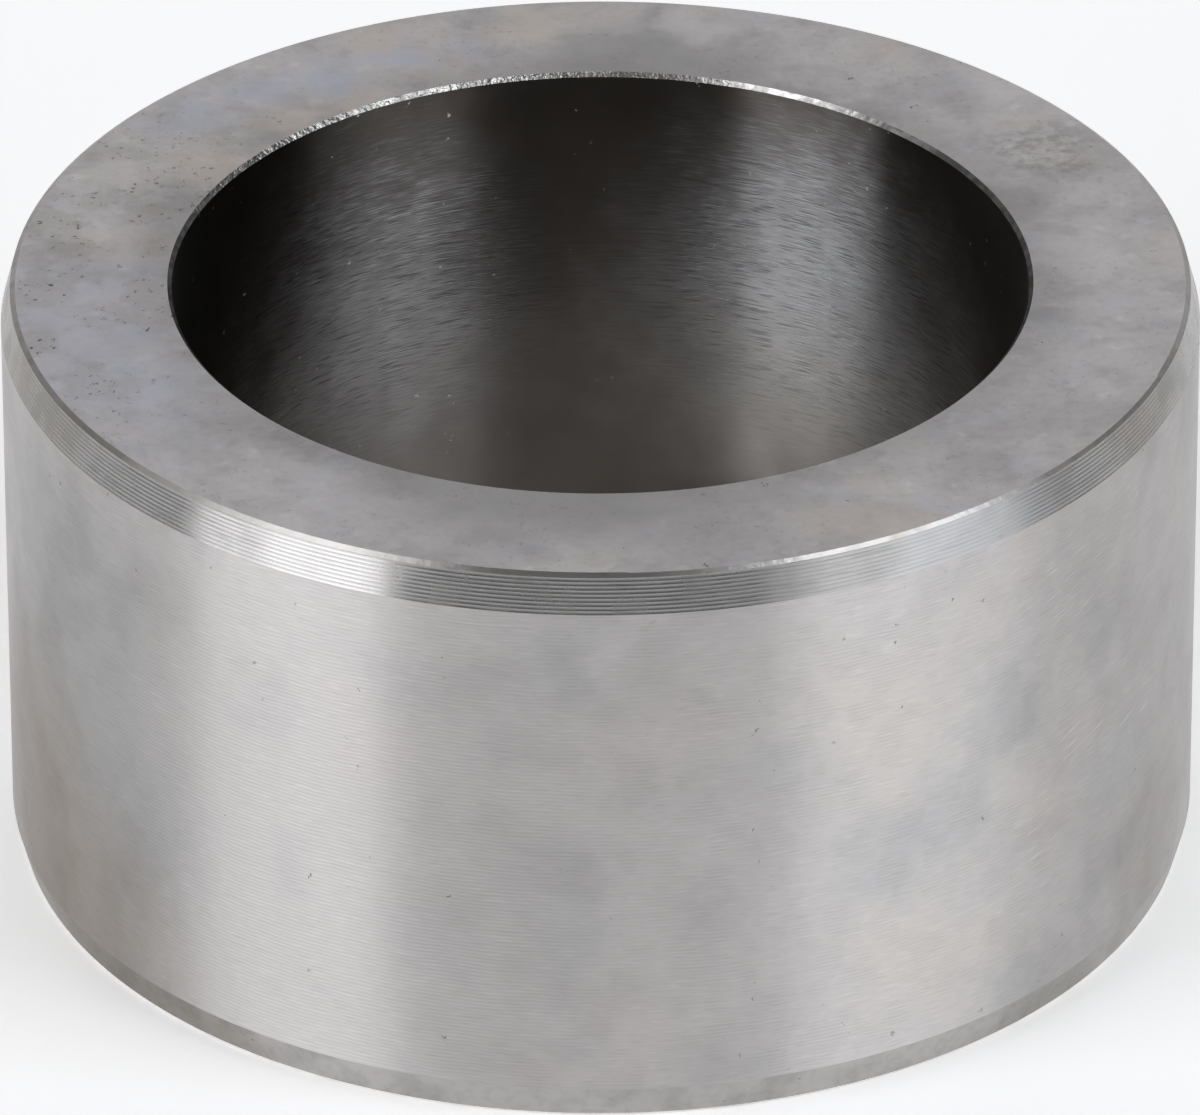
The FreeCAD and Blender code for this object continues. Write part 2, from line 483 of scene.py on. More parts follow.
# %% Build the scuffs
scuffs, given, result = start_group(
    "scuffs", "Amount",
    Place="Vector", Slant="Float", Length="Float", Thickness="Float", Low="Float", High="Float",
)
place = add_node(scuffs, "SeparateXYZ", {0: given["Place"]}).outputs
azimuth = maths(scuffs, "ARCTAN2", place["Y"], place["X"])
flat_place = add_node(scuffs, "CombineXYZ", {0: place["X"], 1: place["Y"]}).outputs[0]
around = maths(scuffs, "MULTIPLY", azimuth, distance(scuffs, flat_place, (0, 0, 0)))
sheet = add_node(scuffs, "CombineXYZ", {0: around, 2: place["Z"]}).outputs[0]
slanting = {"Vector": sheet, "Angle": given["Slant"]}
sheet = add_node(scuffs, "VectorRotate", slanting, rotation_type="Y_AXIS").outputs[0]
shape = {name: given[name] for name in ("Length", "Thickness", "Low", "High")}
lines = add_node(scuffs, "Group", {"Place": sheet, **shape}, node_tree=streaks).outputs[0]
scuffs.links.new(lines, result)

# %% [markdown]
# Feed rings are what the tool leaves when it moves on by the same step in every turn: fine grooves at
# even levels, which wander a little. A Wave texture makes such bands too, but here the first groove, the
# step and the width of a groove are each a size that can be measured on the real sleeve.

# %% Build the feed rings
SWAY_SCALE = 0.35
HALF_A_STEP = 0.5

feed_rings, given, result = start_group(
    "feed_rings", "Groove", Place="Vector", First="Float", Spacing="Float", Wander="Float", Width="Float"
)
level = add_node(feed_rings, "SeparateXYZ", {0: given["Place"]}).outputs["Z"]
sway = noise(feed_rings, given["Place"], scale=SWAY_SCALE, detail=0.0)
sway = maths(feed_rings, "SUBTRACT", sway, NOISE_MIDDLE)
level = maths(feed_rings, "MULTIPLY_ADD", sway, given["Wander"], level)
above_first = maths(feed_rings, "SUBTRACT", level, given["First"])
turns = maths(feed_rings, "DIVIDE", above_first, given["Spacing"])
off_groove = maths(feed_rings, "PINGPONG", turns, HALF_A_STEP)
groove = ramp(feed_rings, off_groove, 0.0, given["Width"], to_low=1.0, to_high=0.0)
feed_rings.links.new(groove, result)

# %% [markdown]
# Specks are dust, rust points and pits. They could be small meshes, but no light catches on anything so
# small. Voronoi cells give scattered points. Some of the cells are chosen by their random colour, which
# also sets how large the speck in each of them is. The place is pushed about first, so that no speck is
# a perfect dot.

# %% Build the specks
WOBBLE_SCALE = 1.2
WOBBLE_PUSH = 2.5
SMALLEST = 0.35
LARGEST = 0.9
SOLID_CORE = 0.5

specks, given, result = start_group(
    "specks", "Amount", Place="Vector", Spacing="Float", Size="Float", Share="Float", Shift="Float"
)
moved = vectors(specks, "ADD", given["Place"], given["Shift"])
wobble_scale = maths(specks, "DIVIDE", WOBBLE_SCALE, given["Size"])
wobble_push = maths(specks, "MULTIPLY", given["Size"], WOBBLE_PUSH)
moved = pushed(specks, moved, scale=wobble_scale, detail=0.0, push=wobble_push)
cell_scale = maths(specks, "DIVIDE", 1.0, given["Spacing"])
cells = add_node(specks, "TexVoronoi", {"Vector": moved, "Scale": cell_scale}).outputs
chance = add_node(specks, "SeparateColor", {0: cells["Color"]}).outputs
reach = maths(specks, "DIVIDE", given["Size"], given["Spacing"])
own_size = ramp(specks, chance["Red"], 0.0, 1.0, to_low=SMALLEST, to_high=LARGEST)
reach = maths(specks, "MULTIPLY", reach, own_size)
core = maths(specks, "MULTIPLY", reach, SOLID_CORE)
spot = ramp(specks, cells["Distance"], core, reach, to_low=1.0, to_high=0.0)
chosen = maths(specks, "LESS_THAN", chance["Green"], given["Share"])
specks.links.new(maths(specks, "MULTIPLY", spot, chosen), result)

# %% [markdown]
# A stain is one soft patch at a chosen place, where a hand or a drop of oil was. The same patch also
# places painted highlights and painted shade. It could be painted on by hand, but a centre and a reach
# say the same in two numbers. The place that it reads comes pushed about by noise, which makes its edge
# ragged.

# %% Build the stain
stain_and_light_patch, given, result = start_group(
    "stain_and_light_patch", "Amount", Place="Vector", Centre="Vector", Core="Float", Reach="Float", Strength="Float"
)
off_centre = distance(stain_and_light_patch, given["Place"], given["Centre"])
patch = ramp(stain_and_light_patch, off_centre, given["Core"], given["Reach"], to_low=given["Strength"], to_high=0.0)
stain_and_light_patch.links.new(patch, result)

# %% [markdown]
# ## Finishes
#
# The sleeve is one steel with seven finishes, one for each cut of the tool. One material could tell them
# apart by masks, but seven plain ones are easier to read. A finish starts as bare steel, and marks are
# laid over it one by one: each can tint it, make it rougher or raise it. The shine of turned steel
# spreads across the tool's streaks, so that of the walls spreads up and down.

# %% Lay marks over steel
ACROSS_THE_STREAKS = 0.25
RAGGED_SIZE = 3.0
RAGGED_DETAIL = 3.0
RAGGED_PUSH = 6.0
# A Mix node for colours has its factor, its two colours and its result at these places.
MIX_FACTOR, MIX_BELOW, MIX_ABOVE, MIX_RESULT = 0, 6, 7, 2


class Steel:
    """A steel finish in the making: its colour, its roughness and its height, mark by mark."""

    def __init__(self, name, colour, roughness, anisotropy):
        self.material = bpy.data.materials.new(name)
        self.material.use_nodes = True
        self.tree = self.material.node_tree
        self.shader = self.tree.nodes["Principled BSDF"]
        self.give("Metallic", 1.0)
        self.give("Anisotropic", anisotropy)
        self.give("Anisotropic Rotation", ACROSS_THE_STREAKS)
        self.give("Tangent", add_node(self.tree, "Tangent", direction_type="RADIAL", axis="Z").outputs[0])
        metres = add_node(self.tree, "TexCoord").outputs["Object"]
        self.place = scaled(self.tree, metres, 1 / MM)
        self.level = add_node(self.tree, "SeparateXYZ", {0: self.place}).outputs["Z"]
        self.ragged_place = pushed(self.tree, self.place, 1 / RAGGED_SIZE, RAGGED_DETAIL, RAGGED_PUSH)
        self.colour = (*colour, 1)
        self.roughness = roughness
        self.height = 0.0

    def give(self, name, value):
        """Gives one input of the shader a link or a value."""
        if isinstance(value, bpy.types.NodeSocket):
            self.tree.links.new(value, self.shader.inputs[name])
        else:
            self.shader.inputs[name].default_value = value

    def mark(self, group, **inputs):
        """Places a group of marks in this finish and returns how much of the mark there is."""
        return add_node(self.tree, "Group", {"Place": self.place, **inputs}, node_tree=group).outputs[0]

    def stain_and_light_patch(self, centre, reach, softness=0.5, strength=1.0):
        """Returns a ragged patch round a place, which fades over the outer share of its reach."""
        size = {"Centre": centre, "Core": reach * (1 - softness), "Reach": reach}
        return self.mark(stain_and_light_patch, Place=self.ragged_place, Strength=strength, **size)

    def stains_and_shades(self, colour, patches, softness):
        """Lays one colour over several patches: each has a place, a reach and a strength."""
        amount = 0.0
        for centre, reach, strength in patches:
            patch = self.stain_and_light_patch(centre, reach, softness, strength)
            amount = maths(self.tree, "ADD", amount, patch, clamp=True)
        self.tint(amount, strength=1.0, colour=colour)

    def overlap(self, *amounts):
        """Returns the mark that is left where all the given ones meet."""
        total = amounts[0]
        for amount in amounts[1:]:
            total = maths(self.tree, "MULTIPLY", total, amount)
        return total

    def tint(self, amount, strength, colour):
        """Lays a colour over the finish."""
        factor = maths(self.tree, "MULTIPLY", amount, strength)
        layers = {MIX_FACTOR: factor, MIX_BELOW: self.colour, MIX_ABOVE: (*colour, 1)}
        self.colour = add_node(self.tree, "Mix", layers, data_type="RGBA").outputs[MIX_RESULT]

    def shade(self, amount, factor):
        """Multiplies the finish by a grey factor, which darkens it if the factor is under 1."""
        layers = {MIX_FACTOR: amount, MIX_BELOW: self.colour, MIX_ABOVE: (factor, factor, factor, 1)}
        mixed = add_node(self.tree, "Mix", layers, data_type="RGBA", blend_type="MULTIPLY")
        self.colour = mixed.outputs[MIX_RESULT]

    def roughen(self, amount, change):
        """Makes the finish rougher, or smoother if the change is negative."""
        self.roughness = maths(self.tree, "MULTIPLY_ADD", amount, change, self.roughness)

    def lift(self, amount, height):
        """Raises the surface by a height in millimetres, or cuts into it if the height is negative."""
        self.height = maths(self.tree, "MULTIPLY_ADD", amount, height, self.height)

    def finish(self):
        """Joins colour, roughness and height to the shader, and gives the material to the sleeve."""
        self.give("Base Color", self.colour)
        self.give("Roughness", self.roughness)
        if isinstance(self.height, bpy.types.NodeSocket):
            bump = add_node(self.tree, "Bump", {"Strength": 1.0, "Distance": MM, "Height": self.height})
            self.give("Normal", bump.outputs[0])
        sleeve.data.materials.append(self.material)
        print(f"{self.material.name}: {len(self.tree.nodes)} nodes")


print("a stain's edge wanders by up to", RAGGED_PUSH / 2, "mm")

# %% [markdown]
# A stain needs a place on the sleeve. X, Y and Z would do, but a machinist says where round the ring and
# how high up. So the walls take an azimuth, in degrees from +X, and a level in millimetres. The front is
# at -90.

# %% Turn azimuths into places
def on_ring(radius, azimuth, level):
    """A place in millimetres, by its radius, its azimuth from +X in degrees and its level."""
    turn = math.radians(azimuth)
    return (radius / MM * math.cos(turn), radius / MM * math.sin(turn), level)


def on_wall(azimuth, level):
    """A place on the outer wall, or on a cone or edge break close by."""
    return on_ring(OUTER_RADIUS, azimuth, level)


def on_bore(azimuth, level):
    """A place on the bore, or on its edge break."""
    return on_ring(BORE_RADIUS, azimuth, level)


def on_face(x, y):
    """A place on the upper end face."""
    return (x, y, TOP_LEVEL)


FRONT = -90
print("the wall's upper edge at the front, mm:", [round(size) for size in on_wall(FRONT, TOP_LEVEL)])

# %% [markdown]
# ### The outer wall
#
# The wall was turned with a fine feed and then handled. On the right, a hand has left pale, warm and
# grey stains, and the lower left is a little brown. Noise alone would put them anywhere, so two layers
# of clouds make the steel uneven, and the stains that show from a step away are placed one by one.

# %% Stain the outer wall
WALL_STEEL = (0.572, 0.553, 0.545)
WARM = (0.60, 0.565, 0.535)
PINK = (0.60, 0.56, 0.54)
COOL = (0.455, 0.455, 0.465)
BROWN = (0.40, 0.36, 0.325)
# Each stain has its azimuth, level, reach and strength.
WALL_STAINS = {
    WARM: (
        (-62, 24, 8.0, 0.55), (-70, 29, 5.0, 0.30), (-60, 9, 7.0, 0.55), (-52, 6, 6.0, 0.45),
    ),
    PINK: (
        (-53, 29, 5.0, 0.55), (-43, 14, 4.0, 0.60), (-38, 18, 3.5, 0.55), (-46, 32, 3.0, 0.55),
    ),
    COOL: (
        (-48, 22, 4.5, 0.60), (-56, 17, 4.5, 0.50), (-63, 15, 5.0, 0.45), (-34, 24, 4.0, 0.40),
        (-47, 3, 4.0, 0.40), (-31, 14, 5.0, 0.35), (-150, 25, 11.0, 0.65),
        (-143, 13, 10.0, 0.60), (-160, 18, 8.0, 0.45),
    ),
    BROWN: (
        (-150, 4, 13.0, 0.75), (-166, 8, 12.0, 0.70), (-158, 16, 9.0, 0.40),
        (-22, 6, 8.0, 0.35), (-87, 33, 0.7, 0.40),
    ),
}

wall = Steel("turned_wall_steel", colour=WALL_STEEL, roughness=0.345, anisotropy=0.95)
warm_clouds = wall.mark(clouds, Size=9.0, Low=0.50, High=0.70, Shift=3.0)
wall.tint(warm_clouds, strength=0.35, colour=WARM)
cool_clouds = wall.mark(clouds, Size=7.0, Low=0.50, High=0.70, Shift=17.0)
wall.tint(cool_clouds, strength=0.35, colour=COOL)
for colour, patches in WALL_STAINS.items():
    placed = [(on_wall(azimuth, level), reach, strength) for azimuth, level, reach, strength in patches]
    wall.stains_and_shades(colour, placed, softness=0.75)
print("stains on the wall:", sum(len(patches) for patches in WALL_STAINS.values()))

# %% [markdown]
# The wall's feed rings show in patches only, and all through in one wide patch on the left, where the
# light falls along them. Rings everywhere would look like a record. Between them lie faint dark and pale
# dashes, where the steel tore a little under the tool.

# %% Lay the feed marks of the outer wall
CLEAREST_RINGS = on_wall(-118, 16)

rings = wall.mark(feed_rings, First=0.0, Spacing=FEED / MM, Wander=0.20, Width=0.5)
shown = wall.mark(clouds, Size=2.0, Low=0.42, High=0.60, Shift=5.0)
clear = wall.stain_and_light_patch(CLEAREST_RINGS, reach=26.0, softness=0.7)
shown_rings = wall.overlap(rings, maths(wall.tree, "MAXIMUM", shown, clear))
dash = {"Length": 1.3, "Thickness": 0.10, "Low": 0.52, "High": 0.70}
dark_dashes = wall.mark(streaks, Shift=9.0, **dash)
pale_dashes = wall.mark(streaks, Shift=31.0, **dash)
wall.shade(shown_rings, factor=0.92)
wall.shade(wall.overlap(rings, clear), factor=0.94)
wall.shade(dark_dashes, factor=0.94)
wall.shade(pale_dashes, factor=1.07)
wall.lift(shown_rings, height=-0.003)
print(f"rings up the wall: {LENGTH / FEED:.0f}")

# %% [markdown]
# Small rust points are scattered over the wall, and a few nicks sit close together low on the right.
# Other parts have slid along its right side, and have left slanting pale scuffs there. One layer of
# scuffs is laid for the whole wall, and a stain at each place lets it show.

# %% Lay the specks and scuffs of the outer wall
RUST = (0.16, 0.115, 0.085)
PALE = (0.80, 0.78, 0.75)
NICKS = on_wall(-71, 4)
WALL_SLANT = math.radians(12)
# Each scuffed place has its azimuth, level, reach and strength.
WALL_SCUFFS = (
    (-39, 28, 4.0, 0.65), (-38, 18, 3.5, 0.70), (-43, 13, 3.5, 0.65), (-46, 29, 3.5, 0.50),
    (-27, 17, 3.0, 0.60),
)

rust_points = wall.mark(specks, Spacing=1.6, Size=0.18, Share=0.35, Shift=2.0)
wall.tint(rust_points, strength=0.75, colour=RUST)
nicks = wall.mark(specks, Spacing=0.8, Size=0.16, Share=0.6, Shift=12.0)
nicked = wall.stain_and_light_patch(NICKS, reach=6.0, softness=0.8)
wall.tint(wall.overlap(nicked, nicks), strength=0.8, colour=RUST)
dull_clouds = wall.mark(clouds, Size=5.0, Low=0.40, High=0.70, Shift=19.0)
wall.roughen(dull_clouds, change=0.04)
slanting = wall.mark(scuffs, Slant=WALL_SLANT, Length=2.6, Thickness=0.11, Low=0.60, High=0.72)
for azimuth, level, reach, strength in WALL_SCUFFS:
    scuffed = wall.stain_and_light_patch(on_wall(azimuth, level), reach)
    wall.tint(wall.overlap(scuffed, slanting), strength, colour=PALE)
wall.finish()

# %% [markdown]
# ### The lead-in cones
#
# The upper cone was cut in one pass, so its rings stand out crisp and whole. Its scallops are modelled
# already, and a sharp crest stands between each two of them. The light draws the crests, and each also
# gets a darker line at the same levels, a painted shade. Its two highlights are painted paler as well, a
# painted highlight, the right one cool.

# %% Finish the upper cone
MID_CONE = TOP_LEVEL - 1
CONE_STEEL = (0.430, 0.422, 0.415)
CONE_LEFT_HIGHLIGHT = (0.62, 0.61, 0.60)
CONE_RIGHT_HIGHLIGHT = (0.58, 0.59, 0.61)
CONE_BROWN = (0.30, 0.27, 0.24)
LEFT_HIGHLIGHT_PLACE = on_wall(-116, MID_CONE)
DULL_PLACE = on_wall(-58, MID_CONE)
RIGHT_HIGHLIGHT_PLACE = on_wall(-52, MID_CONE)
# Each brown stain has its azimuth and reach.
CONE_STAINS = ((-172, 8.0), (-158, 7.0), (-25, 6.0))

top_spacing = (TOP_LEAD - FACE_BREAK_DOWN) / top_rings / MM
first_ring = (LENGTH - TOP_LEAD) / MM
top_cone = Steel("upper_cone_steel", colour=CONE_STEEL, roughness=0.25, anisotropy=0.9)
crests = top_cone.mark(feed_rings, First=first_ring, Spacing=top_spacing, Wander=0.0, Width=0.25)
# Painted shade: a darker line along each crest.
top_cone.shade(crests, factor=0.82)
dull_clouds = top_cone.mark(clouds, Size=2.0, Low=0.40, High=0.70, Shift=20.0)
top_cone.roughen(dull_clouds, change=0.06)
dark_clouds = top_cone.mark(clouds, Size=2.5, Low=0.45, High=0.75, Shift=21.0)
top_cone.shade(dark_clouds, factor=0.90)
dark_streaks = top_cone.mark(streaks, Length=2.5, Thickness=0.10, Low=0.58, High=0.70, Shift=7.0)
top_cone.shade(dark_streaks, factor=0.80)
rust_points = top_cone.mark(specks, Spacing=1.1, Size=0.15, Share=0.30, Shift=8.0)
top_cone.tint(rust_points, strength=0.7, colour=RUST)
# Painted highlight: paler where the cone mirrors the left soft box.
top_cone.tint(top_cone.stain_and_light_patch(LEFT_HIGHLIGHT_PLACE, reach=7.0), strength=0.45, colour=CONE_LEFT_HIGHLIGHT)
top_cone.roughen(top_cone.stain_and_light_patch(DULL_PLACE, reach=13.0), change=0.08)
# Painted highlight: paler and cool where the cone mirrors the right soft box.
top_cone.tint(top_cone.stain_and_light_patch(RIGHT_HIGHLIGHT_PLACE, reach=8.0), strength=0.4, colour=CONE_RIGHT_HIGHLIGHT)
for azimuth, reach in CONE_STAINS:
    top_cone.tint(top_cone.stain_and_light_patch(on_wall(azimuth, TOP_LEVEL), reach), strength=0.5, colour=CONE_BROWN)
top_cone.finish()

# %% [markdown]
# The lower cone is smooth and dull. It has stood on benches, so it is stained brown, most on the left.
# It could share the wall's finish, but it is darker than the wall and has no rings.

# %% Finish the lower cone
LOW_CONE_STEEL = (0.47, 0.455, 0.445)
BENCH_BROWN = (0.27, 0.24, 0.21)
MID_LOW_CONE = 1.0
# Each brown stain has its azimuth, reach and strength.
LOW_CONE_STAINS = ((-160, 18.0, 0.55), (-140, 12.0, 0.55), (-41, 5.0, 0.35))

low_cone = Steel("lower_cone_steel", colour=LOW_CONE_STEEL, roughness=0.34, anisotropy=0.9)
for azimuth, reach, strength in LOW_CONE_STAINS:
    low_cone.tint(low_cone.stain_and_light_patch(on_wall(azimuth, MID_LOW_CONE), reach), strength, colour=BENCH_BROWN)
dark_clouds = low_cone.mark(clouds, Size=2.5, Low=0.45, High=0.70, Shift=22.0)
low_cone.shade(dark_clouds, factor=0.85)
small_clouds = low_cone.mark(clouds, Size=0.6, Low=0.45, High=0.70, Shift=23.0)
low_cone.shade(small_clouds, factor=0.90)
rust_points = low_cone.mark(specks, Spacing=1.5, Size=0.24, Share=0.40, Shift=24.0)
low_cone.tint(rust_points, strength=0.75, colour=RUST)
low_cone.finish()

# %% [markdown]
# ### The edge breaks
#
# A file or a fine tool took the sharp corners off. Such a narrow edge is uneven: brown where dirt has
# caught on it. It is painted paler where it mirrors the two soft boxes, a painted highlight, and painted
# grey at the front and darker beside the right highlight, a painted shade. It catches the light in a
# line of its own, so it has a finish of its own, though it is only a few tenths of a millimetre wide.

# %% Finish the outer edge breaks
LIP_STEEL = (0.70, 0.68, 0.66)
LIP_BROWN = (0.34, 0.29, 0.25)
LIP_GREY = (0.40, 0.38, 0.37)
LIP_RUST = (0.45, 0.33, 0.18)
LIP_PAINTED_HIGHLIGHT = (0.93, 0.92, 0.90)
SHADED_FRONT_EDGE = on_wall(-92, TOP_LEVEL)
RUSTY_EDGE = on_wall(-62, TOP_LEVEL)
SHADED_RIGHT_EDGE = on_wall(-66, TOP_LEVEL)
# Each brown stain has its azimuth and strength, and each painted highlight its azimuth and reach.
LIP_STAINS = ((-172, 0.25), (-160, 0.25), (-148, 0.50))
LIP_HIGHLIGHTS = ((-123, 7.0), (-50, 5.0))

lip = Steel("edge_break_steel", colour=LIP_STEEL, roughness=0.38, anisotropy=0.9)
dark_clouds = lip.mark(clouds, Size=1.5, Low=0.45, High=0.70, Shift=4.0)
lip.shade(dark_clouds, factor=0.80)
for azimuth, strength in LIP_STAINS:
    lip.tint(lip.stain_and_light_patch(on_wall(azimuth, TOP_LEVEL), reach=5.0), strength, colour=LIP_BROWN)
# Painted shade: the front of the break is painted grey, where it mirrors the dark room above.
lip.tint(lip.stain_and_light_patch(SHADED_FRONT_EDGE, reach=9.0), strength=0.5, colour=LIP_GREY)
lip.tint(lip.stain_and_light_patch(RUSTY_EDGE, reach=1.5), strength=0.3, colour=LIP_RUST)
# Painted highlight: paler where the break mirrors the two soft boxes.
for azimuth, reach in LIP_HIGHLIGHTS:
    lip.tint(lip.stain_and_light_patch(on_wall(azimuth, TOP_LEVEL), reach), strength=0.6, colour=LIP_PAINTED_HIGHLIGHT)
# Painted shade: darker beside the right highlight.
lip.shade(lip.stain_and_light_patch(SHADED_RIGHT_EDGE, reach=7.0), factor=0.80)
small_dents = lip.mark(clouds, Size=0.5, Low=0.3, High=0.7, Shift=13.0)
lip.lift(small_dents, height=0.006)
lip.finish()

# %% [markdown]
# The breaks of the bore were left rough, so they glitter, most at the back on the left. Chips could be
# modelled there, but a mesh fine enough would be large for an edge so narrow. So bump with a fine grain
# makes them.

# %% Finish the breaks of the bore
BORE_EDGE_STEEL = (0.62, 0.61, 0.60)
BURR_DARK = (0.28, 0.27, 0.26)
DARK_BURRS = on_bore(88, TOP_LEVEL)
ROUGHEST_BURRS = on_bore(122, TOP_LEVEL)

bore_edge = Steel("bore_edge_steel", colour=BORE_EDGE_STEEL, roughness=0.28, anisotropy=0.3)
dark_clouds = bore_edge.mark(clouds, Size=0.8, Low=0.40, High=0.60, Shift=14.0)
bore_edge.shade(dark_clouds, factor=0.6)
bore_edge.tint(bore_edge.stain_and_light_patch(DARK_BURRS, reach=8.0), strength=0.7, colour=BURR_DARK)
chips = bore_edge.mark(clouds, Size=0.30, Low=0.2, High=0.8, Shift=15.0)
roughest = bore_edge.stain_and_light_patch(ROUGHEST_BURRS, reach=22.0, softness=0.4)
bore_edge.lift(chips, height=0.012)
bore_edge.lift(bore_edge.overlap(chips, roughest), height=0.04)
bore_edge.finish()

# %% [markdown]
# ### The end faces
#
# The faces were ground flat and are matte, so they show no light of their own shape, only clouds. One
# noise of many sizes could make them all, but then they would be equally strong. So each size of cloud
# is a layer with its own strength. All round the bore, the steel is a little darker.

# %% Cloud the end faces
FACE_STEEL = (0.645, 0.625, 0.632)
FACE_WARM = (0.70, 0.63, 0.58)
FACE_BLUE = (0.56, 0.58, 0.67)
DARK_RIM = 5.0

face = Steel("ground_face_steel", colour=FACE_STEEL, roughness=0.63, anisotropy=0.0)
face.shade(face.mark(clouds, Size=6.0, Low=0.42, High=0.66, Shift=40.0), factor=0.86)
face.shade(face.mark(clouds, Size=2.4, Low=0.48, High=0.68, Shift=41.0), factor=0.90)
face.shade(face.mark(clouds, Size=0.6, Low=0.45, High=0.70, Shift=42.0), factor=0.93)
face.shade(face.mark(clouds, Size=1.5, Low=0.56, High=0.72, Shift=48.0), factor=1.10)
warm_clouds = face.mark(clouds, Size=9.0, Low=0.52, High=0.75, Shift=43.0)
face.tint(warm_clouds, strength=0.5, colour=FACE_WARM)
blue_clouds = face.mark(clouds, Size=5.0, Low=0.55, High=0.72, Shift=53.0)
face.tint(blue_clouds, strength=0.3, colour=FACE_BLUE)

bore_mm = BORE_RADIUS / MM
flat_place = vectors(face.tree, "MULTIPLY", face.place, (1, 1, 0))
from_axis = distance(face.tree, flat_place, (0, 0, 0))
by_the_bore = ramp(face.tree, from_axis, bore_mm, bore_mm + DARK_RIM, to_low=1.0, to_high=0.0)
face.shade(by_the_bore, factor=0.80)
print(f"end face: {OUTER_RADIUS / MM - bore_mm:.1f} mm wide, darker over its inner {DARK_RIM} mm")

# %% [markdown]
# Warm and blue stains are thin oxide, from heat and handling. They show best against the grey, so those
# of the upper face are placed one by one. The blue ones follow a curve at the back on the left. The grey
# ones are a painted shade that darkens the front and the back. At the back on the right is one mottled
# patch of dirt, in which dark and pale clouds meet.

# %% Stain the end faces
FACE_PAINTED_SHADE = (0.42, 0.41, 0.415)
FACE_PALE = (0.74, 0.72, 0.72)
FACE_DIRT = (0.25, 0.23, 0.20)
DIRT_PATCH = on_face(26, 15.5)
# Each patch has its X and Y, its reach and its strength.
FACE_STAINS_AND_SHADE = {
    FACE_PAINTED_SHADE: ((-5, -25, 11.0, 0.80), (4, -26, 9.0, 0.60), (3, 26, 10.0, 0.80), (24, 8, 4.0, 0.35)),
    FACE_BLUE: (
        (-30, -4, 8.0, 0.40), (-29, -12, 7.0, 0.35), (-25, -15, 6.0, 0.30), (-24, 20, 3.5, 0.55),
        (-20, 23, 3.0, 0.65), (-16, 25, 3.0, 0.75), (-12, 26.5, 3.0, 0.75), (-8, 28, 2.5, 0.50),
    ),
    FACE_WARM: (
        (-23, 14, 4.0, 0.55), (-19, 19, 3.5, 0.60), (-14, 21, 3.0, 0.50), (-14, 29, 3.0, 0.45),
        (-4, 31, 4.0, 0.55), (17, 28, 4.0, 0.40),
    ),
    FACE_PALE: ((6, 31, 3.0, 0.45), (24, 23, 4.0, 0.40), (29, 3, 4.0, 0.40), (-16, -27, 5.0, 0.30)),
}

# The grey patches at the front and the back are painted shade.
for colour, patches in FACE_STAINS_AND_SHADE.items():
    placed = [(on_face(x, y), reach, strength) for x, y, reach, strength in patches]
    face.stains_and_shades(colour, placed, softness=0.8)

dirty = face.stain_and_light_patch(DIRT_PATCH, reach=4.5, softness=0.8)
dark_mottles = face.mark(clouds, Size=0.7, Low=0.42, High=0.62, Shift=49.0)
face.tint(face.overlap(dirty, dark_mottles), strength=0.4, colour=FACE_DIRT)
pale_mottles = face.mark(clouds, Size=0.5, Low=0.50, High=0.62, Shift=59.0)
face.tint(face.overlap(dirty, pale_mottles), strength=0.3, colour=FACE_PALE)
print("stains on the upper face:", sum(len(patches) for patches in FACE_STAINS_AND_SHADE.values()))

# %% [markdown]
# Dirt sits in specks, in clusters, and thickest on the left. Specks spread evenly would look like sand,
# so the small ones show only inside clouds. A few are larger, and a few are points of rust.

# %% Lay the specks of the end faces
SOOT = (0.10, 0.09, 0.085)
GRIME = (0.40, 0.36, 0.32)
RUST_POINT = (0.42, 0.20, 0.09)
LEFT_SIDE = on_face(-28, 0)
SHARE_ELSEWHERE = 0.25

clusters = face.mark(clouds, Size=3.0, Low=0.44, High=0.56, Shift=44.0)
left_side = face.stain_and_light_patch(LEFT_SIDE, reach=22.0, softness=0.8)
thickest = maths(face.tree, "ADD", left_side, SHARE_ELSEWHERE, clamp=True)
small_specks = face.mark(specks, Spacing=0.45, Size=0.17, Share=0.80, Shift=45.0)
large_specks = face.mark(specks, Spacing=1.8, Size=0.24, Share=0.40, Shift=46.0)
rust_points = face.mark(specks, Spacing=2.6, Size=0.16, Share=0.25, Shift=55.0)
face.tint(face.overlap(clusters, thickest), strength=0.25, colour=GRIME)
face.tint(face.overlap(small_specks, clusters, thickest), strength=0.9, colour=SOOT)
face.tint(large_specks, strength=0.75, colour=SOOT)
face.tint(rust_points, strength=0.8, colour=RUST_POINT)
dull_clouds = face.mark(clouds, Size=3.0, Low=0.40, High=0.70, Shift=57.0)
face.roughen(dull_clouds, change=0.06)
grind_marks = face.mark(clouds, Size=0.4, Low=0.3, High=0.7, Shift=47.0)
face.lift(grind_marks, height=0.006)
face.finish()

# %% [markdown]
# ### The bore
#
# The lamps make two bright bands at the back of the bore, where it mirrors the soft boxes. The steel
# between them is smoother and brownish, and it mirrors the dark inside. Lamps alone could make the
# bands, but then they would be as bright at the mouth as in the middle. So the steel is painted paler at
# the two bands as well, a painted highlight, cool toward the upper mouth and warm below. The whole bore
# is painted darker toward the upper mouth, a painted shade.

# %% Colour the bore
BORE_STEEL = (0.335, 0.300, 0.270)
BORE_PAINTED_HIGHLIGHT = (0.742, 0.751, 0.776)
PAINTED_HIGHLIGHT_WARM = (0.81, 0.75, 0.66)
RIGHT_BAND_PLACE = on_bore(57, 20)
LEFT_BAND_PLACE = on_bore(127, 20)
DARKER_FROM = 12.0
WARM_UP_TO = 10.0
COOL_FROM = 26.0

bore = Steel("bored_steel", colour=BORE_STEEL, roughness=0.32, anisotropy=1.0)
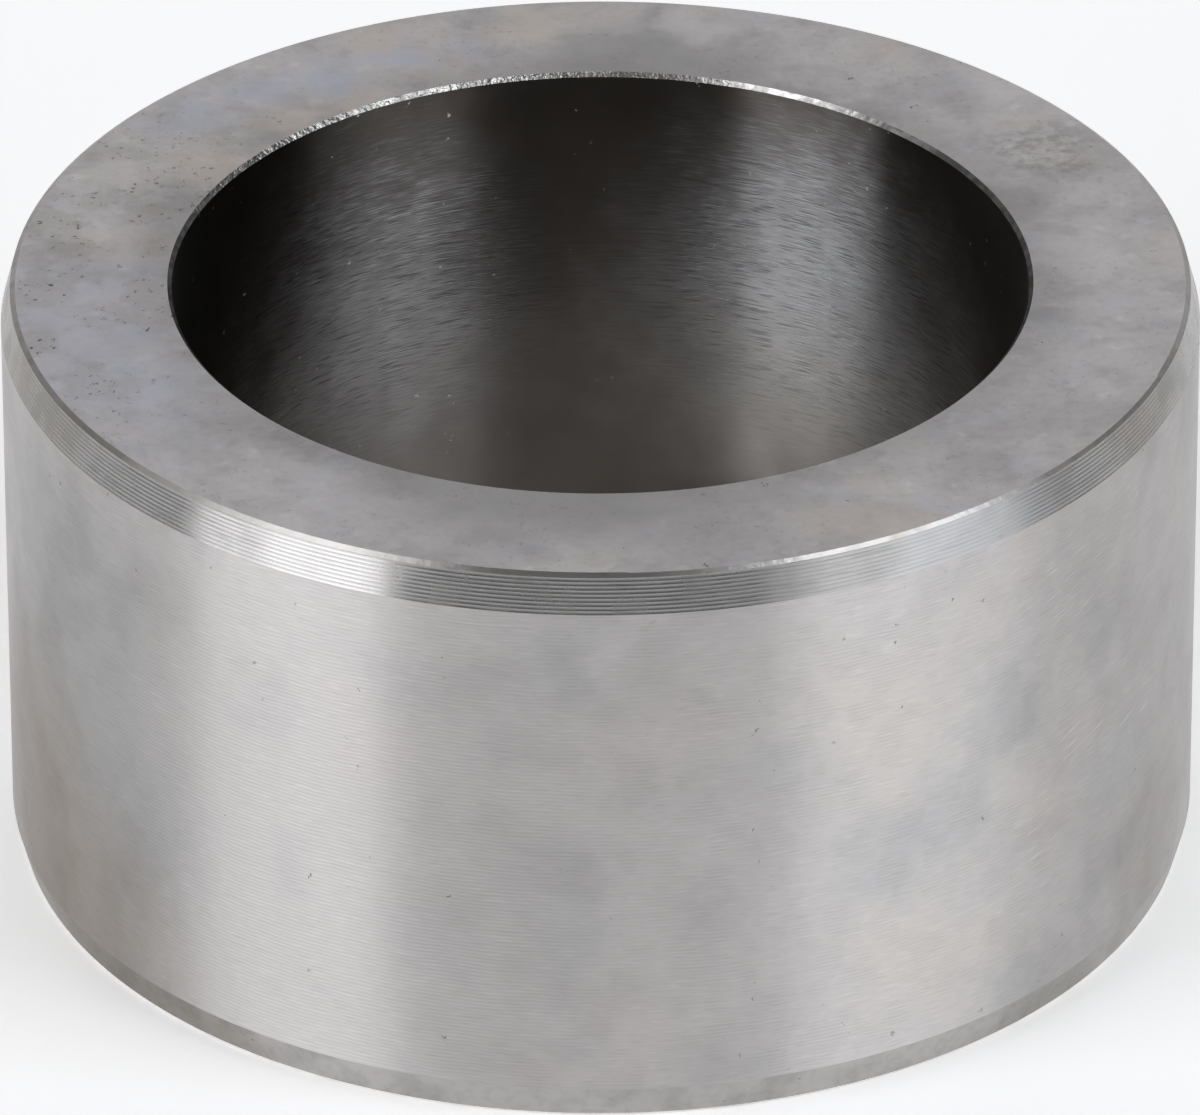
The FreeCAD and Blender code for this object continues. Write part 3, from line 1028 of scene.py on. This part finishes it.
# Where the bore mirrors the soft boxes: two bands of painted highlight.
right_painted_band = bore.stain_and_light_patch(RIGHT_BAND_PLACE, reach=18.0, softness=1.0)
left_painted_band = bore.stain_and_light_patch(LEFT_BAND_PLACE, reach=17.0, softness=1.0)
upper = ramp(bore.tree, bore.level, DARKER_FROM, TOP_LEVEL)
lower = ramp(bore.tree, bore.level, WARM_UP_TO, COOL_FROM, to_low=1.0, to_high=0.0)
# Painted shade: the whole bore is darker toward the upper mouth.
bore.shade(upper, factor=0.40)
dark_clouds = bore.mark(clouds, Size=4.0, Low=0.40, High=0.70, Shift=51.0)
bore.shade(dark_clouds, factor=0.90)
# Painted highlight: the two bands are painted paler, and warm low in the right one.
bore.tint(right_painted_band, strength=1.0, colour=BORE_PAINTED_HIGHLIGHT)
bore.tint(bore.overlap(right_painted_band, lower), strength=0.7, colour=PAINTED_HIGHLIGHT_WARM)
bore.tint(left_painted_band, strength=0.50, colour=BORE_PAINTED_HIGHLIGHT)
# The pale places at the two bands are painted highlight, and the darkening upward is painted shade.
print(f"bore: pale at two jaws, and darker from {DARKER_FROM} mm up")

# %% [markdown]
# In the bands lie short dashes, dark where the tool tore the steel and pale where it rubbed. They are
# streaks, cut into the surface and raised from it, and stronger toward the upper mouth, where the ring
# gave way most. The pale dashes show only in the painted bands, and their pale, cool colour is partly a
# painted highlight. Three places are painted darker, one of them almost black: a painted shade at the two
# dark ends of the bore and beside the left band. A few scuffs low on the right and some dust come last.

# %% Lay the dashes, stains and dust of the bore
DASH_COOL = (0.72, 0.75, 0.80)
SCUFF_WARM = (0.80, 0.72, 0.60)
DASHES_GROW_FROM = 8.0
DASHES_FULL_AT = 28.0
BORE_SLANT = math.radians(14)
SCUFFED_PLACE = on_bore(34, 20)
# Each painted shade has its azimuth, level, reach, softness and how much of the light it leaves.
PAINTED_SHADES = ((102, 24, 8.0, 0.9, 0.75), (170, 30, 22.0, 0.6, 0.25), (8, 32, 10.0, 0.9, 0.45))

in_painted_bands = maths(bore.tree, "ADD", right_painted_band, left_painted_band, clamp=True)
stronger = ramp(bore.tree, bore.level, DASHES_GROW_FROM, DASHES_FULL_AT, to_low=0.25, to_high=2.2)
band_dash_share = maths(bore.tree, "MULTIPLY", in_painted_bands, stronger, clamp=True)
dark_dashes = bore.mark(streaks, Length=1.5, Thickness=0.06, Low=0.48, High=0.66, Shift=50.0)
dark_dashes = bore.overlap(band_dash_share, dark_dashes)
pale_dashes = bore.mark(streaks, Length=1.6, Thickness=0.06, Low=0.50, High=0.66, Shift=60.0)
pale_dashes = bore.overlap(band_dash_share, pale_dashes)
# The pale dashes in the painted bands are real marks, and their pale, cool colour is partly painted
# highlight.
bore.tint(bore.overlap(pale_dashes, upper), strength=0.55, colour=DASH_COOL)
bore.shade(dark_dashes, factor=0.55)
# Painted shade: three places painted darker, at the two dark ends of the bore and beside the left band.
for azimuth, level, reach, softness, factor in PAINTED_SHADES:
    bore.shade(bore.stain_and_light_patch(on_bore(azimuth, level), reach, softness), factor)
dull_clouds = bore.mark(clouds, Size=3.0, Low=0.40, High=0.70, Shift=54.0)
bore.roughen(dull_clouds, change=0.05)
bore.lift(pale_dashes, height=0.006)
bore.lift(dark_dashes, height=-0.008)
slanting = bore.mark(scuffs, Slant=BORE_SLANT, Length=2.6, Thickness=0.12, Low=0.58, High=0.68)
scuffed = bore.stain_and_light_patch(SCUFFED_PLACE, reach=6.0)
bore.tint(bore.overlap(scuffed, slanting), strength=0.5, colour=SCUFF_WARM)
dust = bore.mark(specks, Spacing=1.0, Size=0.16, Share=0.40, Shift=58.0)
bore.tint(dust, strength=0.8, colour=PALE)
bore.roughen(dust, change=0.45)
bore.finish()

# %% [markdown]
# Each cut of the tool has its own faces of the mesh. They could be picked by hand in a window, but their
# place tells which cut they belong to: level faces are the ground ends, and the rest follow from radius
# and level.

# %% Give each face the finish of its place
LEVEL_NORMAL = 0.99

counts = {}
for part in sleeve.data.polygons:
    level = part.center.z
    radius = math.hypot(part.center.x, part.center.y)
    if abs(part.normal.z) > LEVEL_NORMAL:
        name = "ground_face_steel"
    elif radius < BORE_RADIUS + BORE_BREAK and BORE_BREAK < level < LENGTH - BORE_BREAK:
        name = "bored_steel"
    elif radius < BORE_RADIUS + BORE_BREAK:
        name = "bore_edge_steel"
    elif level < FACE_BREAK_DOWN or level > LENGTH - FACE_BREAK_DOWN:
        name = "edge_break_steel"
    elif level < BOTTOM_LEAD:
        name = "lower_cone_steel"
    elif level > LENGTH - TOP_LEAD:
        name = "upper_cone_steel"
    else:
        name = "turned_wall_steel"
    part.material_index = sleeve.data.materials.find(name)
    counts[name] = counts.get(name, 0) + 1
print("faces of each finish:", counts)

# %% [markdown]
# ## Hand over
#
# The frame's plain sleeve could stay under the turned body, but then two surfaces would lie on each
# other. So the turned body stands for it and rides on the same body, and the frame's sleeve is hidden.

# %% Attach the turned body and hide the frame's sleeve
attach(sleeve, "root")
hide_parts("sleeve")
